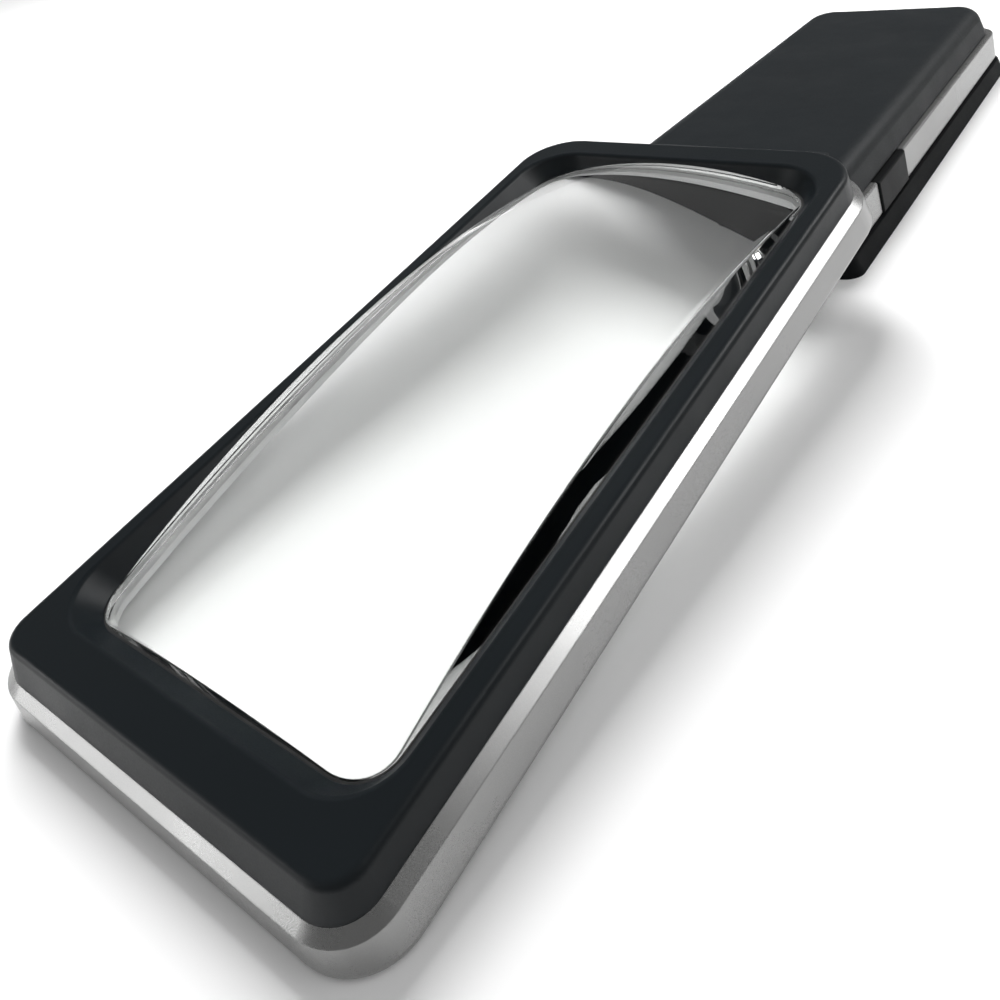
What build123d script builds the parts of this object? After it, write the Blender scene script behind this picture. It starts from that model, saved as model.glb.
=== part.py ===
from build123d import *
import os
from math import atan2, cos, degrees, hypot, radians, sin, sqrt

# A rectangular magnifying glass with a lit head and a flat battery handle, in millimetres.
# The glass lies on a table: the handle is flat on it, and the head slopes down from the
# handle until its near end touches the table. +X is to the right, +Y runs along the handle
# and +Z is up. The origin is on the table, under the middle of the whole object.

# ---------------------------------------------------------------- driving dimensions

overall_length = 294.0
head_tilt = 6.16            # degrees between the head and the table
touching_gap = 0.1          # moulding gap between visible neighbours
slide_gap = 0.08            # running clearance of the battery door

# Head, measured in the head's own plane. Height 0 is where the bezel meets the side band.
# A plan is a rounded rectangle: width, length, near corner, far corner, and its centre along.
bezel_foot_plan = (71.4, 152.4, 6.1, 12.5, 0.0)
bezel_top_plan = (69.3, 147.0, 4.6, 10.5, 0.0)
bezel_height = 4.75
bezel_edge_round = 1.3
opening_plan = (57.6, 130.3, 6.4, 7.4, 1.25)
opening_straight = 1.2      # height of the upright part of the opening
mouth_plan = (63.0, 134.4, 9.0, 10.0, 0.4)
mouth_round = 0.9

band_ledge_plan = (75.0, 156.0, 7.9, 14.5, 0.0)
band_foot_plan = (78.5, 159.4, 9.6, 14.0, 0.0)
band_ledge_drop = 1.2
band_depth = 7.16
band_round = 1.2
frame_plan = (67.8, 148.8, 4.3, 10.0, 0.0)
frame_recess = 0.2          # how far the rear frame stays above the band's bottom edge

lens_plan = (56.8, 129.5, 6.0, 7.0, 1.25)
lens_seat = -5.0            # height of the lens's flat underside
lens_crown = 12.2           # height of the top of the dome
lens_radius_across = 89.0
lens_radius_along = 294.0
lens_blank_margin = 1.5     # the crown is shaped this much wider, then cut to the outline
lens_half_sweep = 16.0      # degrees of crown shaped on each side of the middle
seal_top = 1.1
window_plan = (53.6, 126.1, 4.4, 5.4, 1.25)

# Light channels in the long rails of the rear frame.
channel_centre = 31.1
channel_width, channel_depth = 3.8, 2.8
led_well_width, led_well_depth = 3.0, 5.6
slot_width = 2.2
channel_length, well_length = 116.0, 113.0
board_width, board_length, board_thickness = 3.6, 114.0, 0.8
led_width, led_length, led_thickness = 2.4, 3.5, 0.8
leds_per_side = 6
led_spacing = 18.5
diffuser_flange_thickness = 0.8
fit_gap = 0.1               # clearance round pieces dropped into pockets
rest_gap = 0.05             # hair gap between pieces that rest on each other

# Fasteners.
screw_head_radius, screw_head_height = 1.9, 1.3
screw_radius = 1.0
recess_width, recess_length, recess_depth = 0.5, 2.4, 0.6
head_screw_reach = 3.0      # thread length inside the bezel
head_screw_sink = 2.0
head_screw_spots = [(-24, -68), (24, -68), (-24, 69.5), (24, 69.5), (-9, 69.5), (9, 69.5)]

# Neck between head and handle.
notch_width, notch_length, notch_depth = 36.0, 20.0, 2.1
groove_width, groove_depth = 2.6, 2.1
groove_start, groove_corner, groove_along = 64.5, 25.5, 72.2
bracket_half_width, bracket_thickness = 13.5, 1.2
bracket_pocket_near, bracket_pocket_depth = 67.2, 1.5
neck_half_width, neck_wall = 21.0, 1.2
neck_start, neck_end = (74.0, 3.9), (99.5, -9.0)
neck_sill = (79.3, -2.4)    # top of the wall between the neck's hollow and the head
neck_edge_round = 2.0
bracket_bend, bracket_bend_radius = 79.8, 1.5
bracket_leg_front, bracket_leg_end, bracket_leg_bottom = 17.5, 33.0, 12.2
bracket_screw_spots = [(-8.0, 28.0), (8.0, 28.0)]
bracket_screw_top = 16.2

# Handle, measured from the table. Half widths are at the handle's front end.
grip_front, grip_end = 9.0, 146.9
grip_height = 17.4
grip_taper = 1.9            # loss of half width from the front to the far end
foot_half_width, skirt_half_width, skirt_height = 35.0, 32.9, 3.4
core_low_half_width, core_top_half_width = 30.45, 28.35
core_end, core_corner = 145.2, 4.7
shell_parting = 10.6
shoulder_half_width, top_half_width = 28.9, 25.2
shoulder_end, top_end = 146.3, 145.6
top_round = 5.5
shell_corner = 8.5          # corners of the upper shell, wide enough for its rounded top
far_corner, near_corner = 6.5, 4.0
cavity_half_width, cavity_front, cavity_end = 26.4, 11.0, 143.2
cavity_corner = 4.7
floor_thickness = 1.8
ceiling_height, ceiling_half_width = 15.6, 19.8

trim_low, trim_top = 3.45, 10.5
trim_low_half_width, trim_top_half_width = 32.3, 30.2
trim_low_end, trim_top_end = 147.0, 146.7
trim_round = 0.6
trim_front = 9.4

# Dimmer button and its switch.
button_start, button_stop = 33.0, 52.5
button_end_gap = 0.3
button_proud = 0.4
button_edge_round = 0.5
flange_margin, flange_thickness = 1.2, 1.0
button_travel = 0.7
stem_radius = 1.6
switch_size, switch_height = 6.0, 3.6
switch_face, switch_corner = 22.6, 0.3
plunger_radius, plunger_length, plunger_tip, plunger_chamfer = 1.2, 2.8, 24.2, 0.2

# Control board.
pcb_left, pcb_right, pcb_front, pcb_back = -15.0, 23.0, 31.0, 66.0
pcb_bottom, pcb_thickness, pcb_corner = 5.0, 1.0, 1.0
pcb_post_radius, pcb_post_inset = 1.4, 2.4
pcb_peg_radius, pcb_peg_proud = 0.7, 0.4
pcb_posts = [(x, y) for x in (pcb_left + pcb_post_inset, pcb_right - pcb_post_inset)
             for y in (pcb_front + pcb_post_inset, pcb_back - pcb_post_inset)]
# Each small part on the board: its centre, then its width, length and height.
board_part_plan = [
    ((0.0, 50.0), (4.0, 5.0, 1.6)),
    ((10.0, 56.0), (6.0, 6.0, 2.8)),
    ((12.0, 47.0), (3.0, 1.6, 1.0)),
    ((-9.0, 48.0), (3.0, 1.6, 1.0)),
    ((-9.0, 42.0), (1.6, 3.0, 1.0)),
]
capacitor_spot, capacitor_radius, capacitor_height = (-9.0, 57.0), 2.0, 3.6

# Battery bay, for three cells side by side.
cell_radius, cell_length, cell_edge_round = 5.25, 44.5, 0.5
cell_nub_radius, cell_nub_length = 1.9, 1.0
cell_pitch = 10.8
cell_centre_height = 7.3
bay_half_width = 20.0
bay_rib_half_width, bay_rib_thickness, bay_rib_root = 16.6, 1.2, 0.4
bay_front = 94.0
bay_wall_thickness, bay_wall_top = 1.6, 11.5
plate_thickness = 0.4
plate_width, plate_height = 8.6, 8.0
spring_wire, spring_turns, spring_radius = 0.5, 3, 2.6

door_half_width, door_front = 16.4, 90.5
door_bottom, door_thickness = 0.25, 1.4
doorway_drop = 1.0          # the doorway is cut from this far below the foot
rail_reach, rail_bottom, rail_thickness = 1.0, 0.65, 0.6
rail_end = 141.0
grip_groove_count, grip_groove_width, grip_groove_depth, grip_groove_pitch = 6, 1.0, 0.3, 2.2
grip_groove_length, grip_groove_centre = 16.0, 132.0

handle_screw_spots = [(-18.5, 24.0), (18.5, 24.0), (-18.5, 80.0), (18.5, 80.0)]
post_radius, post_bore_radius = 3.2, 1.2
upper_post_radius = 2.6
post_meet = 9.0
post_cover = 1.0            # how far the upper posts stop inside the handle's top face
handle_screw_top = 14.6
counterbore_radius, counterbore_depth = 2.1, 2.4

lead_radius = 0.6
lead_start, lead_notch, lead_turn = 50.0, 15.8, 80.2
lead_drop = (15.8, 19.0, 11.4)
lead_landing, lead_end = (8.0, 30.0), (7.0, 38.0)
lead_bend_radii = [3.0, 2.5, 1.6, 1.6, 3.0, 3.0]
battery_lead_spread, battery_lead_height, battery_lead_radius = 13.4, 9.6, 6.0
battery_lead_route = [82.0, 70.0, 60.0]
battery_lead_holes = [(-battery_lead_spread, battery_lead_height),
                      (battery_lead_spread, battery_lead_height)]

# ---------------------------------------------------------------- positions that follow

tilt = radians(head_tilt)
# The side band's rounded bottom edge touches the table and is also the object's near end.
band_flare = (band_foot_plan[0] - band_ledge_plan[0]) / 2 / (band_depth - band_ledge_drop)
round_centre_along = band_foot_plan[1] / 2 - band_round * (band_flare + hypot(1, band_flare))
round_centre_height = band_round - band_depth
head_y = (band_round - overall_length / 2
          + round_centre_along * cos(tilt) + round_centre_height * sin(tilt))
head_z = band_round + round_centre_along * sin(tilt) - round_centre_height * cos(tilt)

HEAD = Plane(origin=(0, head_y, head_z), x_dir=(1, 0, 0), z_dir=(0, -sin(tilt), cos(tilt)))
HEAD_UP = Axis(HEAD.origin, HEAD.z_dir)


def side_point(along, height):
    """The (Y, Z) place of a point given in the head's plane."""
    return (head_y + along * cos(tilt) - height * sin(tilt),
            head_z + along * sin(tilt) + height * cos(tilt))


def head_point(across, along, height):
    """The place in space of a point given in the head's plane."""
    return (across, *side_point(along, height))


def half_width_at(front_half_width, y):
    """The handle's half width at a distance y along it."""
    return front_half_width - grip_taper * (y - grip_front) / (grip_end - grip_front)


def save(builder, name):
    """Label one finished sub-part and write it to its own STEP file."""
    builder.part.label = name
    export_step(builder.part, f"parts/{name}.step")


def head_outline(height, plan):
    """A rounded rectangle at one height over the head's plane."""
    width, length, near, far, centre = plan
    with BuildSketch(HEAD.offset(height)) as outline:
        with Locations((0, centre)):
            Rectangle(width, length)
        fillet(outline.vertices().group_by(Axis.Y)[-1], far)
        fillet(outline.vertices().group_by(Axis.Y)[0], near)
    return outline.sketch


def head_block(low, low_plan, high, high_plan, mode=Mode.ADD):
    """A solid between two plans at two heights over the head's plane."""
    loft([head_outline(low, low_plan), head_outline(high, high_plan)], mode=mode)


def head_prism(low, high, plan, mode=Mode.ADD):
    """An upright solid on one plan, from one height to another."""
    extrude(head_outline(low, plan), amount=high - low, mode=mode)


def grown(plan):
    """A plan made larger all round by the moulding gap."""
    width, length, near, far, centre = plan
    return (width + 2 * touching_gap, length + 2 * touching_gap,
            near + touching_gap, far + touching_gap, centre)


def head_box(centre, size, low, high, mode=Mode.ADD):
    """A box in the head's plane, from one height to another."""
    with BuildSketch(HEAD.offset(low)) as outline:
        with Locations(centre):
            Rectangle(*size)
    extrude(outline.sketch, amount=high - low, mode=mode)


def grip_outline(height, half_width, end, front=grip_front, corner=far_corner, front_corner=near_corner):
    """Plan of the handle at one height, with sides that close in towards the far end."""
    with BuildSketch(Plane.XY.offset(height)) as outline:
        with BuildLine():
            Polyline(
                (half_width_at(half_width, front), front),
                (half_width_at(half_width, end), end),
                (-half_width_at(half_width, end), end),
                (-half_width_at(half_width, front), front),
                close=True,
            )
        make_face()
        fillet(outline.vertices().group_by(Axis.Y)[-1], corner)
        fillet(outline.vertices().group_by(Axis.Y)[0], front_corner)
    return outline.sketch


def grip_block(low, high, mode=Mode.ADD, **plan):
    """A solid between two handle outlines, each (height, half width, end)."""
    loft([grip_outline(*low, **plan), grip_outline(*high, **plan)], mode=mode)


def grip_core(mode):
    """The upright-walled core of the lower shell, which the silver band wraps."""
    grip_block(
        (skirt_height, core_low_half_width, core_end),
        (shell_parting, core_top_half_width, core_end),
        mode,
        corner=core_corner,
    )


def trim_block(grown_by=0.0):
    """The solid whose outside is the silver band's, or the button's when grown."""
    grip_block(
        (trim_low, trim_low_half_width + grown_by, trim_low_end),
        (trim_top, trim_top_half_width + grown_by, trim_top_end),
    )


def box_between(low, high, mode=Mode.ADD):
    """A box given by its lowest and highest corners."""
    with BuildSketch(Plane.XY.offset(low[2])) as outline:
        with Locations(((low[0] + high[0]) / 2, (low[1] + high[1]) / 2)):
            Rectangle(high[0] - low[0], high[1] - low[1])
    extrude(outline.sketch, amount=high[2] - low[2], mode=mode)


def posts(plane, spots, radius, height, mode=Mode.ADD):
    """Round posts or holes standing on a plane."""
    with BuildSketch(plane) as outline:
        with Locations(*spots):
            Circle(radius)
    extrude(outline.sketch, amount=height, mode=mode)


def cross_recess(plane, spots):
    """Crossed driver slots cut into screw heads that face the plane."""
    with BuildSketch(plane) as slots:
        with Locations(*spots):
            Rectangle(recess_width, recess_length)
            Rectangle(recess_length, recess_width)
    extrude(slots.sketch, amount=recess_depth, mode=Mode.SUBTRACT)


os.makedirs("parts", exist_ok=True)

# ================================================================ head

# ---------------------------------------------------------------- bezel
# The black front frame: a low dished ring that narrows a little to its flat top.
with BuildPart() as bezel:
    head_block(0, bezel_foot_plan, bezel_height, bezel_top_plan)
    fillet(bezel.faces().sort_by(HEAD_UP)[-1].edges(), bezel_edge_round)
    head_prism(0, opening_straight, opening_plan, Mode.SUBTRACT)
    head_block(opening_straight, opening_plan, bezel_height, mouth_plan, Mode.SUBTRACT)
    fillet(bezel.faces().sort_by(HEAD_UP)[-1].inner_wires()[0].edges(), mouth_round)
    posts(HEAD, head_screw_spots, screw_radius, head_screw_reach, Mode.SUBTRACT)
save(bezel, "bezel")

# ---------------------------------------------------------------- side band
# The silver band round the head: a bright sloping ledge, then a side that flares to a rounded foot.
with BuildPart() as side_band:
    head_block(-band_ledge_drop, band_ledge_plan, 0, bezel_foot_plan)
    head_block(-band_depth, band_foot_plan, -band_ledge_drop, band_ledge_plan)
    fillet(side_band.faces().sort_by(HEAD_UP)[0].edges(), band_round)
    head_prism(-band_depth, 0, frame_plan, Mode.SUBTRACT)
    # Notch at the far end, where bracket and leads leave the head.
    head_box((0, band_foot_plan[1] / 2), (notch_width, notch_length), -notch_depth, 0, Mode.SUBTRACT)
save(side_band, "side_band")

# ---------------------------------------------------------------- rear frame
# The black back cover: a ring with a seat for the lens, two light channels and the lead grooves.
frame_bottom = frame_recess - band_depth
frame_far = frame_plan[1] / 2
with BuildPart() as rear_frame:
    head_prism(frame_bottom, 0, frame_plan)
    head_prism(frame_bottom, 0, window_plan, Mode.SUBTRACT)
    pocket_plan = (lens_plan[0] + fit_gap, lens_plan[1] + fit_gap, *lens_plan[2:])
    head_prism(lens_seat, 0, pocket_plan, Mode.SUBTRACT)
    for side in (-1, 1):
        centre = (side * channel_centre, 0)
        head_box(centre, (channel_width, channel_length), -channel_depth, 0, Mode.SUBTRACT)
        head_box(centre, (led_well_width, well_length), -led_well_depth, 0, Mode.SUBTRACT)
        head_box(centre, (slot_width, well_length), frame_bottom, 0, Mode.SUBTRACT)
        route = [
            (side * channel_centre, channel_length / 2 - groove_width),
            (side * channel_centre, groove_start),
            (side * groove_corner, groove_along),
            (side * lead_notch, groove_along),
            (side * lead_notch, frame_far + groove_width),
        ]
        with BuildSketch(HEAD.offset(-groove_depth)) as groove:
            for start, end in zip(route, route[1:]):
                run = Vector(end) - Vector(start)
                with Locations((Vector(start) + Vector(end)) / 2):
                    SlotCenterToCenter(run.length, groove_width, rotation=degrees(atan2(run.Y, run.X)))
        extrude(groove.sketch, amount=groove_depth, mode=Mode.SUBTRACT)
    head_box(
        (0, (bracket_pocket_near + frame_far + fit_gap) / 2),
        (2 * bracket_half_width + 2 * fit_gap, frame_far + fit_gap - bracket_pocket_near),
        -bracket_pocket_depth, 0, Mode.SUBTRACT,
    )
    posts(HEAD.offset(frame_bottom), head_screw_spots, screw_radius + fit_gap,
          band_depth, Mode.SUBTRACT)
    posts(HEAD.offset(frame_bottom), head_screw_spots, counterbore_radius,
          head_screw_sink, Mode.SUBTRACT)
save(rear_frame, "rear_frame")

# ---------------------------------------------------------------- lens
# Thick clear lens: flat underneath, and crowned in both directions above its upright edges.
with BuildPart() as lens:
    half_profile = lens_plan[0] / 2 + lens_blank_margin
    profile_bottom = 2 * lens_seat
    sagitta = lens_radius_across - sqrt(lens_radius_across ** 2 - half_profile ** 2)
    cross_plane = Plane(origin=HEAD.origin, x_dir=HEAD.x_dir, z_dir=-HEAD.y_dir)
    with BuildSketch(cross_plane):
        with BuildLine():
            Polyline(
                (-half_profile, lens_crown - sagitta),
                (-half_profile, profile_bottom),
                (half_profile, profile_bottom),
                (half_profile, lens_crown - sagitta),
            )
            ThreePointArc(
                (half_profile, lens_crown - sagitta),
                (0, lens_crown),
                (-half_profile, lens_crown - sagitta),
            )
        make_face()
    sweep_centre = HEAD.from_local_coords(Vector(0, 0, lens_crown - lens_radius_along))
    revolve(axis=Axis(sweep_centre, HEAD.x_dir), revolution_arc=lens_half_sweep)
    mirror(about=Plane(origin=HEAD.origin, z_dir=HEAD.y_dir))
    head_prism(lens_seat, 2 * lens_crown, lens_plan, Mode.INTERSECT)
save(lens, "lens")

# ---------------------------------------------------------------- lens seal
# Thin rubber ring between the lens's upright edge and the bezel.
with BuildPart() as lens_seal:
    head_prism(0, seal_top, opening_plan)
    head_prism(0, seal_top, lens_plan, Mode.SUBTRACT)
save(lens_seal, "lens_seal")

# ---------------------------------------------------------------- LED boards, LEDs, diffusers
led_places = [led_spacing * (i - (leds_per_side - 1) / 2) for i in range(leds_per_side)]
for side, hand in ((-1, "left"), (1, "right")):
    across = side * channel_centre

    with BuildPart() as led_board:
        head_box((across, 0), (board_width, board_length),
                 -channel_depth, board_thickness - channel_depth)
    save(led_board, f"led_board_{hand}")

    with BuildPart() as leds:
        with BuildSketch(HEAD.offset(-channel_depth - led_thickness)):
            with Locations(*[(across, along) for along in led_places]):
                Rectangle(led_width, led_length)
        extrude(amount=led_thickness)
    save(leds, f"leds_{hand}")

    with BuildPart() as diffuser:
        head_box((across, 0), (led_well_width - fit_gap, well_length - 2 * fit_gap),
                 -led_well_depth, diffuser_flange_thickness - led_well_depth)
        head_box((across, 0), (slot_width - fit_gap, well_length - 2 * fit_gap),
                 frame_recess - band_depth, -led_well_depth)
    save(diffuser, f"diffuser_{hand}")

# ---------------------------------------------------------------- head screws
with BuildPart() as head_screws:
    sunk = frame_recess - band_depth + head_screw_sink
    posts(HEAD.offset(sunk - screw_head_height), head_screw_spots, screw_head_radius, screw_head_height)
    posts(HEAD.offset(sunk), head_screw_spots, screw_radius, head_screw_reach - sunk)
    cross_recess(HEAD.offset(sunk - screw_head_height), head_screw_spots)
save(head_screws, "head_screws")

# ================================================================ neck

# ---------------------------------------------------------------- neck bracket
# Bent steel strip that ties the head's rear frame to the handle's upper shell.
bracket_mid = bracket_thickness / 2 + rest_gap - bracket_pocket_depth
leg_height = bracket_leg_bottom + bracket_thickness / 2
with BuildPart() as neck_bracket:
    with BuildSketch(Plane.YZ.offset(-bracket_half_width)) as strip:
        with BuildLine():
            route = FilletPolyline(
                side_point(bracket_pocket_near + bracket_thickness / 2 + fit_gap, bracket_mid),
                side_point(bracket_bend, bracket_mid),
                (bracket_leg_front, leg_height),
                (bracket_leg_end, leg_height),
                radius=bracket_bend_radius,
            )
            offset(amount=bracket_thickness / 2, kind=Kind.INTERSECTION, side=Side.BOTH)
        make_face()
    extrude(amount=2 * bracket_half_width)
    posts(HEAD.offset(-bracket_pocket_depth), head_screw_spots[-2:], screw_radius + fit_gap,
          bracket_pocket_depth, Mode.SUBTRACT)
    posts(Plane.XY.offset(bracket_leg_bottom - bracket_thickness), bracket_screw_spots,
          screw_radius + fit_gap, 3 * bracket_thickness, Mode.SUBTRACT)
save(neck_bracket, "neck_bracket")

# ---------------------------------------------------------------- bracket screws
with BuildPart() as bracket_screws:
    posts(Plane.XY.offset(bracket_leg_bottom - screw_head_height), bracket_screw_spots,
          screw_head_radius, screw_head_height)
    posts(Plane.XY.offset(bracket_leg_bottom), bracket_screw_spots,
          screw_radius, bracket_screw_top - bracket_leg_bottom)
    cross_recess(Plane.XY.offset(bracket_leg_bottom - screw_head_height), bracket_screw_spots)
save(bracket_screws, "bracket_screws")

# ================================================================ handle

# ---------------------------------------------------------------- upper shell
# The black top half: a flat top with a soft edge, sloping shoulders, and a neck up to the head.
with BuildPart() as upper_shell:
    grip_block(
        (shell_parting, shoulder_half_width, shoulder_end),
        (grip_height, top_half_width, top_end),
        corner=shell_corner,
        front_corner=shell_corner,
    )
    fillet(upper_shell.faces().sort_by(Axis.Z)[-1].edges(), top_round)
    neck_top = [side_point(*neck_start), side_point(*neck_end)]
    with BuildSketch(Plane.YZ.offset(-neck_half_width)):
        with BuildLine():
            Polyline(
                *neck_top,
                (neck_top[1][0], shell_parting),
                (grip_front, shell_parting),
                (neck_top[0][0], neck_top[0][1] - grip_height),
                close=True,
            )
        make_face()
    extrude(amount=2 * neck_half_width)
    neck_slope = Vector(0, *neck_top[0]) - Vector(0, *neck_top[1])
    neck_edges = upper_shell.edges().filter_by(Axis((0, *neck_top[1]), neck_slope))
    fillet(neck_edges, neck_edge_round)
    # The neck stops against the head's far end.
    head_block(-band_ledge_drop, grown(band_ledge_plan), 0, grown(bezel_foot_plan), Mode.SUBTRACT)
    head_block(-band_depth, grown(band_foot_plan), -band_ledge_drop, grown(band_ledge_plan), Mode.SUBTRACT)
    head_block(0, grown(bezel_foot_plan), bezel_height, grown(bezel_top_plan), Mode.SUBTRACT)
    box_between((-foot_half_width, 0, 0), (foot_half_width, grip_front, head_z), Mode.SUBTRACT)
    # Hollow inside, open towards the head at the top of the neck.
    grip_block(
        (shell_parting, cavity_half_width, cavity_end),
        (ceiling_height, ceiling_half_width, cavity_end),
        Mode.SUBTRACT,
        front=cavity_front,
        corner=cavity_corner,
    )
    hollow_end = side_point(neck_end[0], neck_end[1] - neck_wall)
    with BuildSketch(Plane.YZ.offset(2 * neck_wall - neck_half_width)):
        with BuildLine():
            Polyline(
                side_point(neck_start[0], neck_start[1] - neck_wall),
                hollow_end,
                (hollow_end[0], ceiling_height - neck_wall),
                (cavity_front, ceiling_height - neck_wall),
                (cavity_front, ceiling_height),
                side_point(*neck_sill),
                side_point(neck_start[0], neck_sill[1]),
                close=True,
            )
        make_face()
    extrude(amount=2 * (neck_half_width - 2 * neck_wall), mode=Mode.SUBTRACT)
    posts(Plane.XY.offset(post_meet), handle_screw_spots, upper_post_radius,
          grip_height - post_cover - post_meet)
    posts(Plane.XY.offset(post_meet), handle_screw_spots, screw_radius,
          handle_screw_top - post_meet, Mode.SUBTRACT)
    posts(Plane.XY.offset(bracket_leg_bottom + bracket_thickness), bracket_screw_spots,
          upper_post_radius, grip_height - post_cover - bracket_leg_bottom - bracket_thickness)
    posts(Plane.XY.offset(bracket_leg_bottom), bracket_screw_spots, screw_radius,
          bracket_screw_top - bracket_leg_bottom, Mode.SUBTRACT)
save(upper_shell, "upper_shell")

# ---------------------------------------------------------------- lower shell
# The black tub: a skirt that flares to the table, and a narrower core that carries the trim.
with BuildPart() as lower_shell:
    grip_block((0, foot_half_width, grip_end), (skirt_height, skirt_half_width, grip_end))
    grip_core(Mode.ADD)
    grip_block(
        (floor_thickness, cavity_half_width, cavity_end),
        (shell_parting, cavity_half_width, cavity_end),
        Mode.SUBTRACT,
        front=cavity_front,
        corner=cavity_corner,
    )
    # Battery bay: a front wall with two holes for the leads, and a rib along each side.
    box_between(
        (-bay_half_width, bay_front - bay_wall_thickness, floor_thickness - bay_rib_root),
        (bay_half_width, bay_front, bay_wall_top),
    )
    posts(Plane.XZ.offset(-bay_front), battery_lead_holes, lead_radius + fit_gap,
          2 * bay_wall_thickness, Mode.SUBTRACT)
    for side in (-1, 1):
        rib = sorted((side * bay_rib_half_width, side * (bay_rib_half_width + bay_rib_thickness)))
        box_between((rib[0], bay_front, floor_thickness - bay_rib_root),
                    (rib[1], cavity_end, cell_centre_height))
    # Doorway under the bay, open through the far end, with a groove along each side.
    doorway = door_half_width + slide_gap
    box_between(
        (-doorway, door_front, -doorway_drop),
        (doorway, overall_length, floor_thickness),
        Mode.SUBTRACT,
    )
    rail_space = door_half_width + rail_reach + slide_gap
    box_between(
        (-rail_space, door_front, rail_bottom - slide_gap),
        (rail_space, overall_length, rail_bottom + rail_thickness + slide_gap),
        Mode.SUBTRACT,
    )
    # Window for the dimmer button.
    box_between(
        (0, button_start, trim_low),
        (foot_half_width, button_stop, grip_height),
        Mode.SUBTRACT,
    )
    # Screw posts with counterbores from below, and pegs for the control board.
    posts(Plane.XY, handle_screw_spots, post_radius, post_meet)
    posts(Plane.XY, handle_screw_spots, post_bore_radius, post_meet, Mode.SUBTRACT)
    posts(Plane.XY, handle_screw_spots, counterbore_radius, counterbore_depth, Mode.SUBTRACT)
    posts(Plane.XY.offset(floor_thickness), pcb_posts, pcb_post_radius, pcb_bottom - floor_thickness)
    posts(Plane.XY.offset(pcb_bottom), pcb_posts, pcb_peg_radius, pcb_thickness + pcb_peg_proud)
save(lower_shell, "lower_shell")


# ---------------------------------------------------------------- handle trim
# The long silver band: the whole left side, the far end, and the right side up to the button.
with BuildPart() as handle_trim:
    trim_block()
    fillet(handle_trim.faces().sort_by(Axis.Z)[-1].edges(), trim_round)
    fillet(handle_trim.faces().sort_by(Axis.Z)[0].edges(), trim_round)
    grip_core(Mode.SUBTRACT)
    box_between((-foot_half_width, 0, 0), (foot_half_width, trim_front, grip_height), Mode.SUBTRACT)
    box_between((0, 0, 0), (foot_half_width, button_stop, grip_height), Mode.SUBTRACT)
save(handle_trim, "handle_trim")

# ---------------------------------------------------------------- trim insert
# The short silver piece between the head and the button.
with BuildPart() as trim_insert:
    trim_block()
    fillet(trim_insert.faces().sort_by(Axis.Z)[-1].edges(), trim_round)
    fillet(trim_insert.faces().sort_by(Axis.Z)[0].edges(), trim_round)
    grip_core(Mode.SUBTRACT)
    box_between((0, trim_front, 0), (foot_half_width, button_start, grip_height), Mode.INTERSECT)
save(trim_insert, "trim_insert")

# ---------------------------------------------------------------- dimmer button
# A black cap in line with the trim, with a flange inside the wall and a stem to the switch.
button_centre = (button_start + button_stop) / 2
wall_face = half_width_at(cavity_half_width, button_stop)
flange_face = wall_face - 2 * fit_gap
switch_centre_height = pcb_bottom + pcb_thickness + switch_height / 2
with BuildPart() as dimmer_button:
    trim_block(button_proud)
    box_between(
        (flange_face, button_start + button_end_gap, trim_low + fit_gap),
        (foot_half_width, button_stop - button_end_gap, trim_top - fit_gap),
        Mode.INTERSECT,
    )
    fillet(dimmer_button.faces().sort_by(Axis.X)[-1].edges(), button_edge_round)
    box_between(
        (flange_face - flange_thickness, button_start - flange_margin, trim_low - flange_margin),
        (flange_face, button_stop + flange_margin, trim_top - fit_gap),
    )
    with BuildSketch(Plane.YZ.offset(plunger_tip + rest_gap)):
        with Locations((button_centre, switch_centre_height)):
            Circle(stem_radius)
    extrude(amount=flange_face - plunger_tip - rest_gap)
save(dimmer_button, "dimmer_button")

# ---------------------------------------------------------------- dimmer switch and plunger
with BuildPart() as dimmer_switch:
    box_between(
        (switch_face - switch_size, button_centre - switch_size / 2, pcb_bottom + pcb_thickness),
        (switch_face, button_centre + switch_size / 2, pcb_bottom + pcb_thickness + switch_height),
    )
    fillet(dimmer_switch.edges().filter_by(Axis.Z), switch_corner)
    with BuildSketch(Plane.YZ.offset(plunger_tip - plunger_length - button_travel - fit_gap)):
        with Locations((button_centre, switch_centre_height)):
            Circle(plunger_radius + slide_gap)
    extrude(amount=switch_size, mode=Mode.SUBTRACT)
save(dimmer_switch, "dimmer_switch")

with BuildPart() as switch_plunger:
    with BuildSketch(Plane.YZ.offset(plunger_tip - plunger_length)):
        with Locations((button_centre, switch_centre_height)):
            Circle(plunger_radius)
    extrude(amount=plunger_length)
    chamfer(switch_plunger.edges().sort_by(Axis.X)[-1], plunger_chamfer)
save(switch_plunger, "switch_plunger")

# ---------------------------------------------------------------- control board and its parts
with BuildPart() as control_board:
    box_between((pcb_left, pcb_front, pcb_bottom), (pcb_right, pcb_back, pcb_bottom + pcb_thickness))
    fillet(control_board.edges().filter_by(Axis.Z), pcb_corner)
    posts(Plane.XY.offset(pcb_bottom), pcb_posts, pcb_peg_radius + fit_gap, pcb_thickness, Mode.SUBTRACT)
save(control_board, "control_board")

with BuildPart() as board_parts:
    for (x, y), (width, length, height) in board_part_plan:
        box_between(
            (x - width / 2, y - length / 2, pcb_bottom + pcb_thickness),
            (x + width / 2, y + length / 2, pcb_bottom + pcb_thickness + height),
        )
    posts(Plane.XY.offset(pcb_bottom + pcb_thickness), [capacitor_spot],
          capacitor_radius, capacitor_height)
save(board_parts, "board_parts")

# ---------------------------------------------------------------- cells
# The room between the front and rear contact plates is a little longer than a cell.
front_face = bay_front + plate_thickness
rear_face = cavity_end - plate_thickness
spring_room = rear_face - front_face - cell_length
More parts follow.
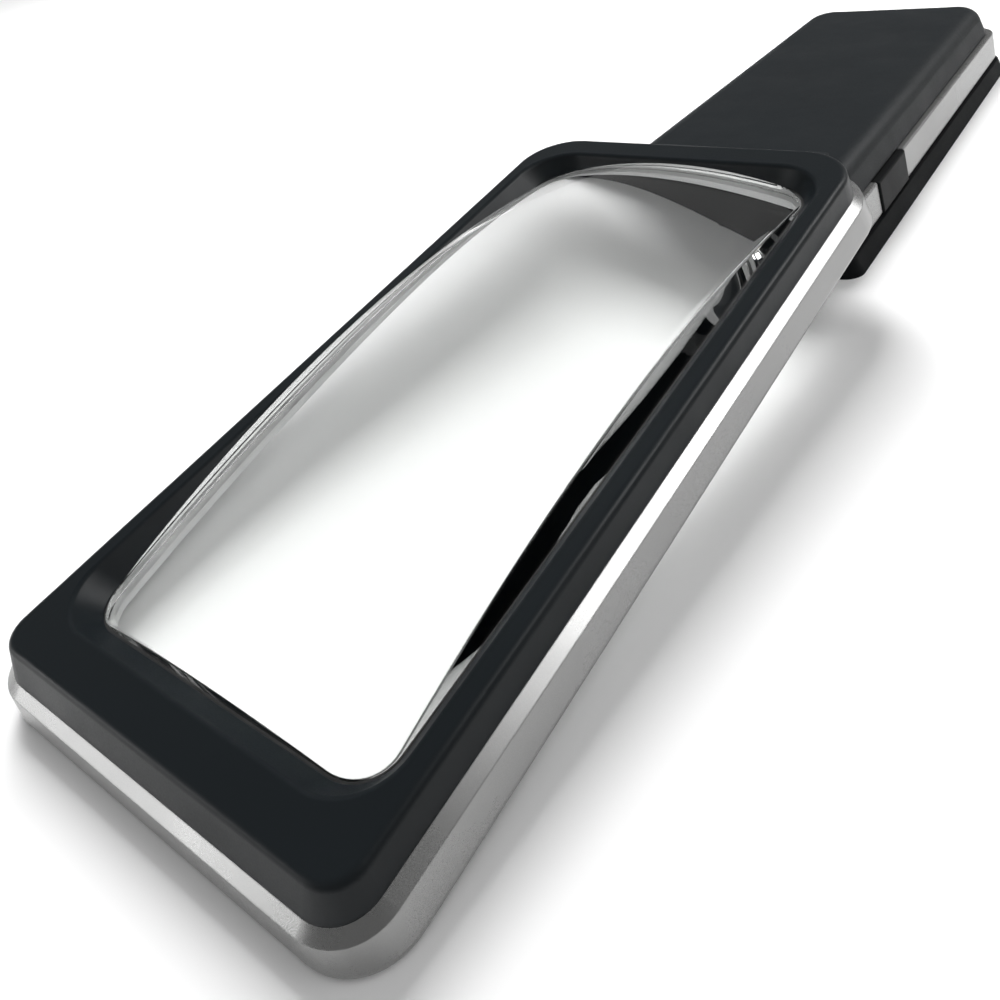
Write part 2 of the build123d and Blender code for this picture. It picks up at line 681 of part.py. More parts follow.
# Three cells side by side; the middle one points the other way.
for number, turn in ((1, 1), (2, -1), (3, 1)):
    x = (number - 2) * cell_pitch
    start = front_face if turn > 0 else rear_face
    with BuildPart() as cell:
        with BuildSketch(Plane(origin=(x, start, cell_centre_height), z_dir=(0, turn, 0))):
            Circle(cell_nub_radius)
        extrude(amount=cell_nub_length)
        with BuildSketch(Plane(origin=(x, start + turn * cell_nub_length, cell_centre_height),
                               z_dir=(0, turn, 0))):
            Circle(cell_radius)
        extrude(amount=cell_length - cell_nub_length)
        fillet(cell.edges().filter_by(GeomType.CIRCLE).sort_by(Axis.Y)[1 if turn > 0 else 0],
               cell_edge_round)
    save(cell, f"cell_{number}")

# ---------------------------------------------------------------- contacts and springs
plate_low = cell_centre_height - plate_height / 2
with BuildPart() as contact_plates:
    for left, right, near in (
        (-cell_pitch - plate_width / 2, -cell_pitch + plate_width / 2, bay_front),
        (-plate_width / 2, cell_pitch + plate_width / 2, bay_front),
        (-cell_pitch - plate_width / 2, plate_width / 2, rear_face),
        (cell_pitch - plate_width / 2, cell_pitch + plate_width / 2, rear_face),
    ):
        box_between((left, near, plate_low), (right, near + plate_thickness, plate_low + plate_height))
save(contact_plates, "contact_plates")

with BuildPart() as cell_springs:
    rise = spring_room - spring_wire
    for x, start, away in (
        (-cell_pitch, rear_face, -1),
        (0, front_face, 1),
        (cell_pitch, rear_face, -1),
    ):
        coil = Helix(
            pitch=rise / spring_turns,
            height=rise,
            radius=spring_radius,
            center=(x, start + away * spring_wire / 2, cell_centre_height),
            direction=(0, away, 0),
        )
        with BuildSketch(Plane(origin=coil @ 0, z_dir=coil % 0)) as wire:
            Circle(spring_wire / 2)
        sweep(wire.sketch, path=coil, is_frenet=True)
save(cell_springs, "cell_springs")

# ---------------------------------------------------------------- battery door
# Flat sliding door under the cells, with a rail along each side and grooves for the thumb.
with BuildPart() as battery_door:
    box_between(
        (-door_half_width, door_front + 2 * slide_gap, door_bottom),
        (door_half_width, grip_end, door_bottom + door_thickness),
    )
    box_between(
        (-door_half_width - rail_reach, door_front + 2 * slide_gap, rail_bottom),
        (door_half_width + rail_reach, rail_end, rail_bottom + rail_thickness),
    )
    with BuildSketch(Plane.XY.offset(door_bottom)):
        with Locations((0, grip_groove_centre)):
            with GridLocations(0, grip_groove_pitch, 1, grip_groove_count):
                SlotOverall(grip_groove_length, grip_groove_width)
    extrude(amount=grip_groove_depth, mode=Mode.SUBTRACT)
save(battery_door, "battery_door")

# ---------------------------------------------------------------- handle screws
with BuildPart() as handle_screws:
    posts(Plane.XY.offset(counterbore_depth - screw_head_height), handle_screw_spots,
          screw_head_radius, screw_head_height)
    posts(Plane.XY.offset(counterbore_depth), handle_screw_spots,
          screw_radius, handle_screw_top - counterbore_depth)
    cross_recess(Plane.XY.offset(counterbore_depth - screw_head_height), handle_screw_spots)
save(handle_screws, "handle_screws")

# ---------------------------------------------------------------- leads
# Two leads feed the LED boards: along the rail groove, through the neck, down to the board.
lead_height = lead_radius + rest_gap + board_thickness - channel_depth
landing_height = pcb_bottom + pcb_thickness + lead_radius + rest_gap
for side, hand in ((-1, "left"), (1, "right")):
    corners = [
        head_point(side * channel_centre, lead_start, lead_height),
        head_point(side * channel_centre, groove_start, lead_height),
        head_point(side * groove_corner, groove_along, lead_height),
        head_point(side * lead_notch, groove_along, lead_height),
        head_point(side * lead_notch, lead_turn, lead_height),
        (side * lead_drop[0], *lead_drop[1:]),
        (side * lead_landing[0], lead_landing[1], landing_height),
        (side * lead_end[0], lead_end[1], landing_height),
    ]
    with BuildPart() as lead:
        with BuildLine() as route:
            FilletPolyline(*corners, radius=lead_bend_radii)
        with BuildSketch(Plane(origin=route.line @ 0, z_dir=route.line % 0)):
            Circle(lead_radius)
        sweep(path=route.line)
    save(lead, f"led_lead_{hand}")

# Two leads join the front contact plates to the control board.
with BuildPart() as battery_leads:
    for x in (-1, 1):
        corners = [
            (x * battery_lead_spread, bay_front, battery_lead_height),
            (x * battery_lead_spread, battery_lead_route[0], battery_lead_height),
            (x * battery_lead_spread / 2, battery_lead_route[1], landing_height),
            (x * battery_lead_spread / 2, battery_lead_route[2], landing_height),
        ]
        with BuildLine() as route:
            FilletPolyline(*corners, radius=battery_lead_radius)
        with BuildSketch(Plane(origin=route.line @ 0, z_dir=route.line % 0)) as wire:
            Circle(lead_radius)
        sweep(wire.sketch, path=route.line)
save(battery_leads, "battery_leads")
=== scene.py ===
import math

import bmesh
import bpy
from mathutils import Matrix, Vector


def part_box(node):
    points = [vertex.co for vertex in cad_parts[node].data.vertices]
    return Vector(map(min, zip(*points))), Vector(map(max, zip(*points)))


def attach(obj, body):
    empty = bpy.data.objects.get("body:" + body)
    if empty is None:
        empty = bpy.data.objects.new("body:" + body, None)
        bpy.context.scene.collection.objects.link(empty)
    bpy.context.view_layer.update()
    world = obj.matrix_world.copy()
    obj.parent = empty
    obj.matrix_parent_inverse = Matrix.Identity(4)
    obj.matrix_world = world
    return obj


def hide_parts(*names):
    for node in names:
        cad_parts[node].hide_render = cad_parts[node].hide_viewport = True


# A rectangular magnifying glass lying on a pale floor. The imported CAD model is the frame: its
# nodes keep their shapes and get finished materials here, and the lens is rebuilt as a finer mesh
# with polished, rounded edges. Everything is in metres, in the frame's own axes.

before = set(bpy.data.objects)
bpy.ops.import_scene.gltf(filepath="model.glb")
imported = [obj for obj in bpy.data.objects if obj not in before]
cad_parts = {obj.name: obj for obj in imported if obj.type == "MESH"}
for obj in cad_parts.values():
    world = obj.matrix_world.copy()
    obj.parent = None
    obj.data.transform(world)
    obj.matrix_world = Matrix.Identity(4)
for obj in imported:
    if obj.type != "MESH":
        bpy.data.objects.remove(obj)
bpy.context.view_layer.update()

MM = 0.001

# Head and lens, as the CAD part defines them.
HEAD_TILT = math.radians(6.16)
LENS_WIDTH, LENS_LENGTH, LENS_MIDDLE = 56.8 * MM, 129.5 * MM, 1.25 * MM
LENS_NEAR_CORNER, LENS_FAR_CORNER = 6.0 * MM, 7.0 * MM
LENS_SEAT, LENS_CROWN = -5.0 * MM, 12.19 * MM
LENS_RADIUS_ACROSS, LENS_RADIUS_ALONG = 89.0 * MM, 294.0 * MM
LENS_EDGE_ROUND = 0.6 * MM

# How finely the lens is meshed: points along its sides and corners, then rings.
SIDE_STEPS, CORNER_STEPS = 24, 12
TOP_RINGS, RIM_STEPS = 48, 5
BOTTOM_RINGS = (0.995, 0.5)
QUARTER_TURN = math.radians(90)

# Camera. Its place is in metres, its lens and sensor in millimetres.
CAMERA_PLACE = Vector((0.07797, -0.15157, 0.08864))
CAMERA_RIGHT = Vector((0.7983, 0.57523, -0.17840))
CAMERA_UP = Vector((-0.27673, 0.61343, 0.73967))
CAMERA_LENS, CAMERA_SENSOR = 29.29, 36.0
CAMERA_CLIP = 5 * MM

# Light.
WORLD_LIGHT = 0.20
FLOOR_SIZE = 6.0

# The middle of a noise's range, which holds nearly all of its values.
MIDDLE = (0.3, 0.7)


# ---------------------------------------------------------------- node helpers

def new_material(name, colour, roughness, metallic=0.0, **sockets):
    """A Principled material. Constant values sit on the shader's own sockets."""
    material = bpy.data.materials.new(name)
    material.use_nodes = True
    shader = material.node_tree.nodes["Principled BSDF"]
    shader.inputs["Base Color"].default_value = (*colour, 1.0)
    shader.inputs["Roughness"].default_value = roughness
    shader.inputs["Metallic"].default_value = metallic
    for socket, value in sockets.items():
        shader.inputs[socket.replace("_", " ")].default_value = value
    return material, material.node_tree, shader


def add(tree, kind, **values):
    """A node of one kind, with its settings and inputs given by name."""
    node = tree.nodes.new(kind)
    for key, value in values.items():
        if hasattr(node, key):
            setattr(node, key, value)
        else:
            node.inputs[key.replace("_", " ")].default_value = value
    return node


def object_place(tree, stretch=(1, 1, 1)):
    """Coordinates fixed to the piece, in metres, stretched along the axes if asked."""
    source = add(tree, "ShaderNodeTexCoord").outputs["Object"]
    if stretch == (1, 1, 1):
        return source
    mapping = add(tree, "ShaderNodeMapping")
    mapping.inputs["Scale"].default_value = stretch
    tree.links.new(source, mapping.inputs["Vector"])
    return mapping.outputs["Vector"]


def noise(tree, size, detail, stretch=(1, 1, 1), distortion=0.0):
    """Noise whose features are about size metres across."""
    node = add(tree, "ShaderNodeTexNoise", Scale=1 / size, Detail=detail, Distortion=distortion)
    tree.links.new(object_place(tree, stretch), node.inputs["Vector"])
    return node.outputs["Fac"]


def ramp(tree, source, low, high, start=0.0, stop=1.0):
    """source between start and stop, remapped to low..high."""
    node = add(tree, "ShaderNodeMapRange",
               From_Min=start, From_Max=stop, To_Min=low, To_Max=high)
    tree.links.new(source, node.inputs["Value"])
    return node.outputs["Result"]


def patches(tree, size, detail, low, high, cut=MIDDLE):
    """Noise about size metres across, where the values in cut are spread over low..high."""
    return ramp(tree, noise(tree, size, detail), low, high, *cut)


def mix_colour(tree, factor, first, second):
    """A colour between two, either of which may be a socket."""
    node = add(tree, "ShaderNodeMix", data_type="RGBA")
    tree.links.new(factor, node.inputs["Factor"])
    for socket, value in (("A", first), ("B", second)):
        target = [i for i in node.inputs if i.name == socket and i.type == "RGBA"][0]
        if hasattr(value, "links"):
            tree.links.new(value, target)
        else:
            target.default_value = (*value, 1.0)
    return [o for o in node.outputs if o.type == "RGBA"][0]


def arithmetic(tree, operation, first, second):
    """One sum on two values, either of which may be a socket."""
    node = add(tree, "ShaderNodeMath", operation=operation)
    for socket, value in zip(node.inputs, (first, second)):
        if hasattr(value, "links"):
            tree.links.new(value, socket)
        else:
            socket.default_value = value
    return node.outputs["Value"]


def rounded_normal(tree, radius):
    """The surface's normal with its sharp edges rounded."""
    return add(tree, "ShaderNodeBevel", samples=6, Radius=radius).outputs["Normal"]


def edge_mask(tree, radius, start=0.9, stop=0.995):
    """1 along sharp edges, 0 on open faces."""
    geometry = add(tree, "ShaderNodeNewGeometry")
    dot = add(tree, "ShaderNodeVectorMath", operation="DOT_PRODUCT")
    tree.links.new(rounded_normal(tree, radius), dot.inputs[0])
    tree.links.new(geometry.outputs["Normal"], dot.inputs[1])
    return ramp(tree, dot.outputs["Value"], 1.0, 0.0, start, stop)


def bump(tree, shader, height, distance, strength, normal=None):
    """Fine relief on the shader, over the given normal."""
    node = add(tree, "ShaderNodeBump", Strength=strength, Distance=distance)
    tree.links.new(height, node.inputs["Height"])
    if normal is not None:
        tree.links.new(normal, node.inputs["Normal"])
    tree.links.new(node.outputs["Normal"], shader.inputs["Normal"])


def scaled(colour, factor):
    """A colour made lighter or darker, with no channel above 1."""
    return [min(1.0, channel * factor) for channel in colour]


def paint(node_names, material):
    """Give CAD nodes one material in every slot."""
    for name in node_names:
        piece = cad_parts[name]
        piece.data.materials.clear()
        piece.data.materials.append(material)


# ---------------------------------------------------------------- materials

def moulded_plastic(name, colour, worn, roughness, grain, relief, specular=0.5):
    """Matte moulded plastic: spark-eroded grain, uneven sheen, and edges rubbed a little."""
    edge = 0.35 * MM
    material, tree, shader = new_material(name, colour, roughness, Specular_IOR_Level=specular)
    rubbed = arithmetic(tree, "MULTIPLY", edge_mask(tree, edge),
                        patches(tree, 6 * MM, 4.0, low=0.1, high=1.0, cut=(0.35, 0.65)))
    cloudy = patches(tree, 30 * MM, 3.0, low=0.0, high=1.0)
    tone = mix_colour(tree, cloudy, scaled(colour, 0.93), scaled(colour, 1.07))
    tree.links.new(mix_colour(tree, rubbed, tone, worn), shader.inputs["Base Color"])
    broad = patches(tree, 14 * MM, 5.0, low=-0.05, high=0.05)
    fine = patches(tree, grain * 1.7, 2.0, low=roughness - 0.03, high=roughness + 0.03)
    tree.links.new(arithmetic(tree, "ADD", broad, fine), shader.inputs["Roughness"])
    bump(tree, shader, noise(tree, grain, 2.5), relief, 0.6, rounded_normal(tree, edge))
    return material


def silver_paint(name, colour, worn):
    """Satin silver paint: fine bright flakes, slight orange peel, and rounded, rubbed edges."""
    flake_size, peel_size, peel_relief = 0.06 * MM, 0.7 * MM, 0.004 * MM
    material, tree, shader = new_material(name, colour, 0.30, 0.85)
    flakes = add(tree, "ShaderNodeTexVoronoi", Scale=1 / flake_size)
    tree.links.new(object_place(tree), flakes.inputs["Vector"])
    flake_tone = add(tree, "ShaderNodeSeparateColor")
    tree.links.new(flakes.outputs["Color"], flake_tone.inputs["Color"])
    bright = ramp(tree, flake_tone.outputs[0], 0.0, 1.0, start=0.15, stop=0.95)
    tone = mix_colour(tree, bright, scaled(colour, 0.95), scaled(colour, 1.05))
    rubbed = arithmetic(tree, "MULTIPLY", edge_mask(tree, 0.15 * MM),
                        patches(tree, 5 * MM, 4.0, low=0.0, high=0.6, cut=(0.4, 0.7)))
    tree.links.new(mix_colour(tree, rubbed, tone, worn), shader.inputs["Base Color"])
    cloudy = patches(tree, 22 * MM, 4.0, low=0.27, high=0.34)
    tree.links.new(arithmetic(tree, "ADD", cloudy, ramp(tree, bright, -0.03, 0.03)),
                   shader.inputs["Roughness"])
    peel = arithmetic(tree, "ADD", noise(tree, peel_size, 1.0),
                      arithmetic(tree, "MULTIPLY", flake_tone.outputs[1], 0.25))
    bump(tree, shader, peel, peel_relief, 0.5, rounded_normal(tree, 0.3 * MM))
    return material


def clear_acrylic(name):
    """Polished clear acrylic with the faintest wiping marks. Light from lamps passes through."""
    material, tree, shader = new_material(
        name, (0.985, 0.993, 0.99), 0.0, IOR=1.49, Transmission_Weight=1.0)
    wiped = noise(tree, 9 * MM, 6.0, stretch=(1, 0.35, 1), distortion=0.6)
    smear = ramp(tree, wiped, 0.0, 0.018, start=0.52, stop=0.8)
    tree.links.new(smear, shader.inputs["Roughness"])
    path = add(tree, "ShaderNodeLightPath")
    clear = add(tree, "ShaderNodeBsdfTransparent")
    clear.inputs["Color"].default_value = (0.99, 0.995, 0.99, 1.0)
    blend = add(tree, "ShaderNodeMixShader")
    passing = arithmetic(tree, "MAXIMUM",
                         path.outputs["Is Shadow Ray"], path.outputs["Is Diffuse Ray"])
    tree.links.new(passing, blend.inputs["Fac"])
    tree.links.new(shader.outputs["BSDF"], blend.inputs[1])
    tree.links.new(clear.outputs["BSDF"], blend.inputs[2])
    tree.links.new(blend.outputs["Shader"], tree.nodes["Material Output"].inputs["Surface"])
    return material


def soft_rubber(name, colour):
    """Soft rubber or wire insulation: dull, with a fine skin and a chalky bloom."""
    material, tree, shader = new_material(
        name, colour, 0.62, Sheen_Weight=0.15, Sheen_Roughness=0.5)
    bloom = patches(tree, 3 * MM, 5.0, low=0.0, high=1.0, cut=(0.45, 0.75))
    chalky = [min(1.0, channel * 1.6 + 0.01) for channel in colour]
    tree.links.new(mix_colour(tree, bloom, colour, chalky), shader.inputs["Base Color"])
    tree.links.new(patches(tree, 1.5 * MM, 3.0, low=0.52, high=0.72), shader.inputs["Roughness"])
    bump(tree, shader, noise(tree, 0.12 * MM, 2.0), 0.006 * MM, 0.5)
    return material


def frosted_plastic(name, colour):
    """Milky light-guide plastic: light sinks in a little, and the surface is etched."""
    depth = 1.2 * MM
    material, tree, shader = new_material(
        name, colour, 0.5, Subsurface_Weight=0.25,
        Subsurface_Radius=(depth, depth, depth), Subsurface_Scale=1.0)
    tree.links.new(patches(tree, 4 * MM, 4.0, low=0.42, high=0.58), shader.inputs["Roughness"])
    bump(tree, shader, noise(tree, 0.1 * MM, 2.0), 0.005 * MM, 0.6)
    return material


def plated_steel(name, colour, roughness, scratch_axis=(1, 1, 1)):
    """Plated steel: drawn scratches, cloudy plating, and bright rubbed edges."""
    edge = 0.12 * MM
    material, tree, shader = new_material(name, colour, roughness, 1.0)
    drawn = noise(tree, 0.3 * MM, 3.0, scratch_axis)
    tree.links.new(ramp(tree, drawn, roughness - 0.1, roughness + 0.14, *MIDDLE),
                   shader.inputs["Roughness"])
    cloud = patches(tree, 2.5 * MM, 5.0, low=0.0, high=1.0)
    tone = mix_colour(tree, cloud, scaled(colour, 0.75), colour)
    rubbed = edge_mask(tree, edge, stop=0.99)
    tree.links.new(mix_colour(tree, rubbed, tone, scaled(colour, 1.35)),
                   shader.inputs["Base Color"])
    bump(tree, shader, drawn, 0.004 * MM, 0.6, rounded_normal(tree, edge))
    return material


def circuit_board(name, colour, copper):
    """Solder mask over copper tracks, which stand up a little under it."""
    material, tree, shader = new_material(name, colour, 0.32, Coat_Weight=0.3)
    tracks = add(tree, "ShaderNodeTexBrick", Scale=1 / (9 * MM), Mortar_Size=0.028,
                 Mortar_Smooth=0.1, Brick_Width=0.62, Row_Height=0.24)
    tree.links.new(object_place(tree), tracks.inputs["Vector"])
    on_track = tracks.outputs["Fac"]
    tree.links.new(mix_colour(tree, on_track, colour, copper), shader.inputs["Base Color"])
    tree.links.new(patches(tree, 5 * MM, 4.0, low=0.25, high=0.4), shader.inputs["Roughness"])
    bump(tree, shader, on_track, 0.03 * MM, 0.7)
    return material


def moulded_resin(name, colour, lift):
    """Small hard parts, such as chips, LED packages and switches, speckled a little lighter."""
    material, tree, shader = new_material(name, colour, 0.45)
    speckle = patches(tree, 0.35 * MM, 3.0, low=0.0, high=1.0, cut=(0.4, 0.7))
    tree.links.new(mix_colour(tree, speckle, colour, scaled(colour, lift)),
                   shader.inputs["Base Color"])
    tree.links.new(patches(tree, 1.2 * MM, 3.0, low=0.35, high=0.55), shader.inputs["Roughness"])
    bump(tree, shader, noise(tree, 0.08 * MM, 2.0), 0.004 * MM, 0.6,
         rounded_normal(tree, 0.12 * MM))
    return material


def banded(tree, source, stops):
    """Plain bands of colour along source, each starting at its own place."""
    node = add(tree, "ShaderNodeValToRGB")
    node.color_ramp.interpolation = "CONSTANT"
    elements = node.color_ramp.elements
    while len(elements) < len(stops):
        elements.new(0.5)
    for index in range(len(stops)):
        elements[index].position = index / len(stops)
    for element, (position, colour) in zip(list(elements), stops):
        element.position = position
        element.color = (*colour, 1.0)
    tree.links.new(source, node.inputs["Fac"])
    return node.outputs["Color"]


# A dry cell from its nub to its flat end: where each zone starts, its colour, how metallic it is.
CELL_ZONES = (
    (0.0, (0.62, 0.6, 0.57), 1.0),         # nub, bare steel
    (0.032, (0.75, 0.36, 0.15), 0.75),     # copper band
    (0.27, (0.8, 0.8, 0.78), 0.3),         # pale ring
    (0.285, (0.018, 0.02, 0.024), 0.0),    # dark film
    (0.985, (0.6, 0.58, 0.55), 1.0),       # flat end, bare steel
)


def cell_film(name, low_y, high_y, nub_low):
    """A shrink-wrapped dry cell, with its nub at the low or the high end of y."""
    material, tree, shader = new_material(name, (0.03, 0.03, 0.035), 0.3, Coat_Weight=0.4)
    place = add(tree, "ShaderNodeSeparateXYZ")
    tree.links.new(object_place(tree), place.inputs[0])
    start, stop = (low_y, high_y) if nub_low else (high_y, low_y)
    along = ramp(tree, place.outputs["Y"], 0.0, 1.0, start, stop)
    colours = banded(tree, along, [(begin, colour) for begin, colour, _ in CELL_ZONES])
    metals = banded(tree, along, [(begin, (metal,) * 3) for begin, _, metal in CELL_ZONES])
    tree.links.new(colours, shader.inputs["Base Color"])
    tree.links.new(metals, shader.inputs["Metallic"])
    tree.links.new(patches(tree, 4 * MM, 5.0, low=0.22, high=0.38), shader.inputs["Roughness"])
    bump(tree, shader, noise(tree, 1.2 * MM, 2.0, (1, 0.3, 1)), 0.01 * MM, 0.4)
    return material


BLACK = (0.0076, 0.0100, 0.0118)
BLACK_WORN = (0.022, 0.023, 0.024)

bezel_black = moulded_plastic(
    "bezel_black", BLACK, BLACK_WORN,
    roughness=0.40, grain=0.16 * MM, relief=0.006 * MM, specular=0.20)
shell_black = moulded_plastic(
    "shell_black", BLACK, BLACK_WORN,
    roughness=0.44, grain=0.20 * MM, relief=0.009 * MM, specular=0.24)
button_black = moulded_plastic(
    "button_black", (0.006, 0.0065, 0.007), BLACK_WORN,
    roughness=0.42, grain=0.1 * MM, relief=0.004 * MM, specular=0.06)
foot_black = moulded_plastic(
    "foot_black", (0.0058, 0.0066, 0.0074), BLACK_WORN,
    roughness=0.5, grain=0.22 * MM, relief=0.010 * MM, specular=0.04)
frame_grey = moulded_plastic(
    "frame_grey", (0.70, 0.70, 0.70), (0.76, 0.76, 0.76),
    roughness=0.42, grain=0.18 * MM, relief=0.006 * MM)
silver = silver_paint("satin_silver", (0.31, 0.31, 0.308), (0.45, 0.45, 0.445))
acrylic = clear_acrylic("clear_acrylic")
seal_rubber = soft_rubber("seal_rubber", (0.012, 0.012, 0.012))
red_wire = soft_rubber("red_wire", (0.42, 0.02, 0.015))
black_wire = soft_rubber("black_wire", (0.015, 0.015, 0.016))
diffuser_white = frosted_plastic("diffuser_white", (0.82, 0.84, 0.84))
screw_steel = plated_steel("screw_steel", (0.46, 0.46, 0.45), roughness=0.32)
bracket_steel = plated_steel(
    "bracket_steel", (0.5, 0.5, 0.49), roughness=0.38, scratch_axis=(1, 0.06, 1))
nickel = plated_steel("nickel", (0.66, 0.62, 0.55), roughness=0.26)
green_board = circuit_board("green_board", (0.01, 0.09, 0.035), copper=(0.03, 0.2, 0.09))
white_board = circuit_board("white_board", (0.78, 0.78, 0.75), copper=(0.7, 0.68, 0.6))
led_resin = moulded_resin("led_resin", (0.85, 0.68, 0.22), lift=1.15)
chip_resin = moulded_resin("chip_resin", (0.015, 0.015, 0.016), lift=2.5)
switch_resin = moulded_resin("switch_resin", (0.03, 0.03, 0.03), lift=1.8)
plunger_resin = moulded_resin("plunger_resin", (0.35, 0.02, 0.015), lift=1.4)

paint(["bezel"], bezel_black)
paint(["upper_shell"], shell_black)
paint(["lower_shell", "battery_door"], foot_black)
paint(["rear_frame"], frame_grey)
paint(["dimmer_button"], button_black)
paint(["side_band", "handle_trim", "trim_insert"], silver)
paint(["lens_seal"], seal_rubber)
paint(["led_lead_left", "battery_leads"], red_wire)
paint(["led_lead_right"], black_wire)
paint(["diffuser_left", "diffuser_right"], diffuser_white)
paint(["head_screws", "bracket_screws", "handle_screws"], screw_steel)
paint(["neck_bracket"], bracket_steel)
paint(["cell_springs", "contact_plates"], nickel)
paint(["control_board"], green_board)
paint(["led_board_left", "led_board_right"], white_board)
paint(["leds_left", "leds_right"], led_resin)
paint(["board_parts"], chip_resin)
paint(["dimmer_switch"], switch_resin)
paint(["switch_plunger"], plunger_resin)
for number in (1, 2, 3):
    cell_low, cell_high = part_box(f"cell_{number}")
    film = cell_film(f"cell_film_{number}", cell_low[1], cell_high[1], nub_low=number != 2)
    paint([f"cell_{number}"], film)


# ---------------------------------------------------------------- lens

def lens_surface(across, along):
    """Height of the crowned top over the head's plane."""
    profile = LENS_CROWN - LENS_RADIUS_ACROSS + math.sqrt(LENS_RADIUS_ACROSS ** 2 - across ** 2)
    reach = profile - (LENS_CROWN - LENS_RADIUS_ALONG)
    return LENS_CROWN - LENS_RADIUS_ALONG + math.sqrt(reach ** 2 - along ** 2)


def rounded_outline(inset):
    """Points round the lens's outline, moved in by inset."""
    half_x, half_y = LENS_WIDTH / 2 - inset, LENS_LENGTH / 2 - inset
    arcs = []
    for quarter, (side, end) in enumerate(((1, 1), (-1, 1), (-1, -1), (1, -1))):
        corner = (LENS_FAR_CORNER if end > 0 else LENS_NEAR_CORNER) - inset
        centre = Vector((side * (half_x - corner), LENS_MIDDLE + end * (half_y - corner)))
        angles = [QUARTER_TURN * (quarter + step / CORNER_STEPS)
                  for step in range(CORNER_STEPS + 1)]
        arcs.append([centre + corner * Vector((math.cos(a), math.sin(a))) for a in angles])
    points = []
    for arc, following in zip(arcs, arcs[1:] + arcs[:1]):
        points += arc
        points += [arc[-1].lerp(following[0], step / SIDE_STEPS)
                   for step in range(1, SIDE_STEPS)]
    return points


def lens_rings():
    """Rings of points over the crowned top, round the rim, down the wall and under the lens."""
    inner = rounded_outline(LENS_EDGE_ROUND)
    rings = []
    for ring in range(1, TOP_RINGS + 1):
        share = ring / TOP_RINGS
        rings.append([(p.x * share, p.y * share, lens_surface(p.x * share, p.y * share))
                      for p in inner])
    angles = [QUARTER_TURN * step / RIM_STEPS for step in range(RIM_STEPS + 1)]
    for angle in angles[1:]:
        outline = rounded_outline(LENS_EDGE_ROUND * (1 - math.sin(angle)))
        drop = LENS_EDGE_ROUND * (1 - math.cos(angle))
        rings.append([(p.x, p.y, lens_surface(q.x, q.y) - drop)
                      for p, q in zip(outline, inner)])
    for angle in angles:
        outline = rounded_outline(LENS_EDGE_ROUND * (1 - math.cos(angle)))
        rise = LENS_EDGE_ROUND * (1 - math.sin(angle))
        rings.append([(p.x, p.y, LENS_SEAT + rise) for p in outline])
    for share in BOTTOM_RINGS:
        rings.append([(p.x * share, p.y * share, LENS_SEAT) for p in inner])
    return rings


def head_matrix():
    """Places head coordinates in the frame, from the CAD lens's box and the head's tilt."""
    low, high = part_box("lens")
    sine, cosine = math.sin(HEAD_TILT), math.cos(HEAD_TILT)
    centre = Vector((
        0,
        high[1] - (LENS_LENGTH / 2 + LENS_MIDDLE) * cosine + LENS_SEAT * sine,
        low[2] + (LENS_LENGTH / 2 - LENS_MIDDLE) * sine - LENS_SEAT * cosine,
    ))
    return Matrix.Translation(centre) @ Matrix.Rotation(HEAD_TILT, 4, "X")


def build_lens():
    """The lens as one closed, smooth skin, tilted with the head."""
    shape = bmesh.new()
    first = shape.verts.new((0, 0, lens_surface(0, 0)))
    loops = [[shape.verts.new(point) for point in ring] for ring in lens_rings()]
    last = shape.verts.new((0, 0, LENS_SEAT))
    count = len(loops[0])
    neighbours = [(i, (i + 1) % count) for i in range(count)]
    for i, j in neighbours:
        shape.faces.new((first, loops[0][i], loops[0][j]))
        shape.faces.new((last, loops[-1][j], loops[-1][i]))
    for upper, lower in zip(loops, loops[1:]):
        for i, j in neighbours:
            shape.faces.new((upper[i], lower[i], lower[j], upper[j]))
    bmesh.ops.recalc_face_normals(shape, faces=shape.faces)
    mesh = bpy.data.meshes.new("lens_polished")
    shape.to_mesh(mesh)
    shape.free()
    mesh.transform(head_matrix())
    for polygon in mesh.polygons:
        polygon.use_smooth = True
    piece = bpy.data.objects.new("lens_polished", mesh)
    bpy.context.collection.objects.link(piece)
    return piece


lens = build_lens()
lens.data.materials.append(acrylic)
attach(lens, "body")
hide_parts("lens")


# ---------------------------------------------------------------- floor, light, camera

def build_floor():
    """A plain pale floor."""
    half = FLOOR_SIZE / 2
    corners = [(-half, -half, 0), (half, -half, 0), (half, half, 0), (-half, half, 0)]
    mesh = bpy.data.meshes.new("floor")
    mesh.from_pydata(corners, [], [(0, 1, 2, 3)])
    floor = bpy.data.objects.new("floor", mesh)
    material, tree, shader = new_material(
        "floor_white", (0.92, 0.92, 0.92), 0.6, Specular_IOR_Level=0.1)
    tree.links.new(patches(tree, 40 * MM, 3.0, low=0.56, high=0.64), shader.inputs["Roughness"])
    mesh.materials.append(material)
    bpy.context.collection.objects.link(floor)


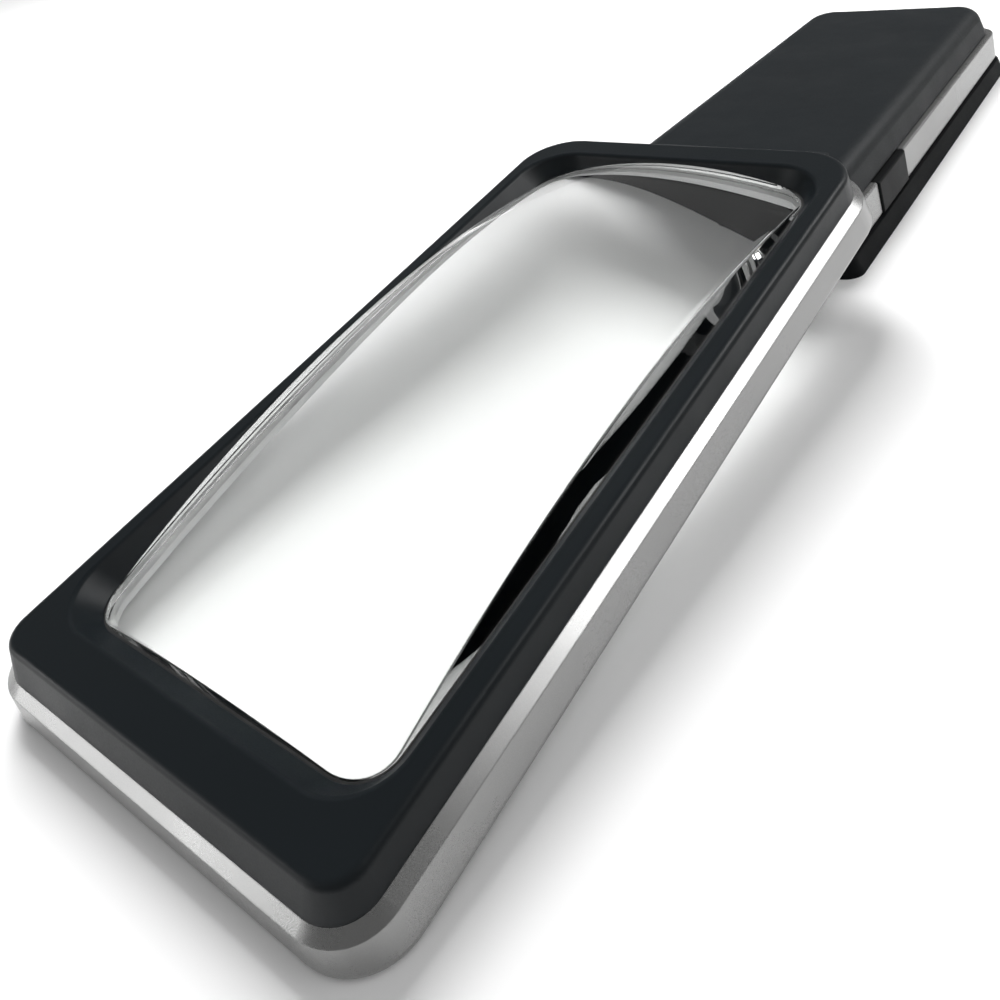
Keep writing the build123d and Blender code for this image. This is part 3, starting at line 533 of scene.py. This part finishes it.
def softbox(name, place, target, size, radiance, mirrored=True, lights=True, along=(1, 0, 0)):
    """A soft area light of a given brightness, whose first side runs as near as it can to along.
    Without mirrored it is left out of reflections and of what is seen through the lens. Without
    lights it is left out of the diffuse light."""
    data = bpy.data.lights.new(name, "AREA")
    data.shape = "RECTANGLE"
    data.size, data.size_y = size
    data.energy = radiance * math.pi * size[0] * size[1]
    light = bpy.data.objects.new(name, data)
    light.visible_glossy = mirrored
    light.visible_transmission = mirrored
    light.visible_diffuse = lights
    back = (Vector(place) - Vector(target)).normalized()
    short = back.cross(Vector(along)).normalized()
    turn = Matrix((short.cross(back), short, back)).transposed()
    light.matrix_world = Matrix.Translation(place) @ turn.to_4x4()
    bpy.context.collection.objects.link(light)


def build_world():
    """Even grey surroundings."""
    world = bpy.data.worlds.new("studio")
    world.use_nodes = True
    background = world.node_tree.nodes["Background"]
    background.inputs["Color"].default_value = (1.0, 1.0, 1.0, 1.0)
    background.inputs["Strength"].default_value = WORLD_LIGHT
    bpy.context.scene.world = world


def build_camera():
    """The camera, turned by its right and up directions."""
    right, up = CAMERA_RIGHT.normalized(), CAMERA_UP.normalized()
    back = right.cross(up).normalized()
    up = back.cross(right)
    turn = Matrix((right, up, back)).transposed()
    data = bpy.data.cameras.new("camera")
    data.lens = CAMERA_LENS
    data.sensor_width = CAMERA_SENSOR
    data.clip_start = CAMERA_CLIP
    camera = bpy.data.objects.new("camera", data)
    camera.matrix_world = Matrix.Translation(CAMERA_PLACE) @ turn.to_4x4()
    bpy.context.collection.objects.link(camera)
    bpy.context.scene.camera = camera


build_floor()
build_world()
head_middle = head_matrix().translation
softbox("key", (-0.46, 0.46, 0.74), head_middle,
        size=(0.42, 0.42), radiance=20.0, mirrored=False)
softbox("right_fill", (0.45, 0.15, 0.80), head_middle,
        size=(0.6, 0.6), radiance=2.0, mirrored=False)
softbox("near_fill", (0.15, -0.75, 0.55), head_middle,
        size=(0.5, 0.4), radiance=1.2, mirrored=False)
softbox("background", (-1.3, 0.7, 1.2), (-1.2, 0.5, 0.0),
        size=(0.8, 0.8), radiance=5.0, mirrored=False)
softbox("ledge_card", (0.50, 0.50, 0.66), head_middle,
        size=(0.85, 0.26), radiance=7.0, lights=False, along=(-0.30, 0.64, -0.27))
softbox("near_card", (-0.68, -0.80, 0.24), (0.0, -0.13, 0.01),
        size=(0.60, 0.18), radiance=5.0, lights=False, along=(0.7, -0.6, 0.0))
build_camera()

bpy.context.scene.view_settings.view_transform = "Standard"
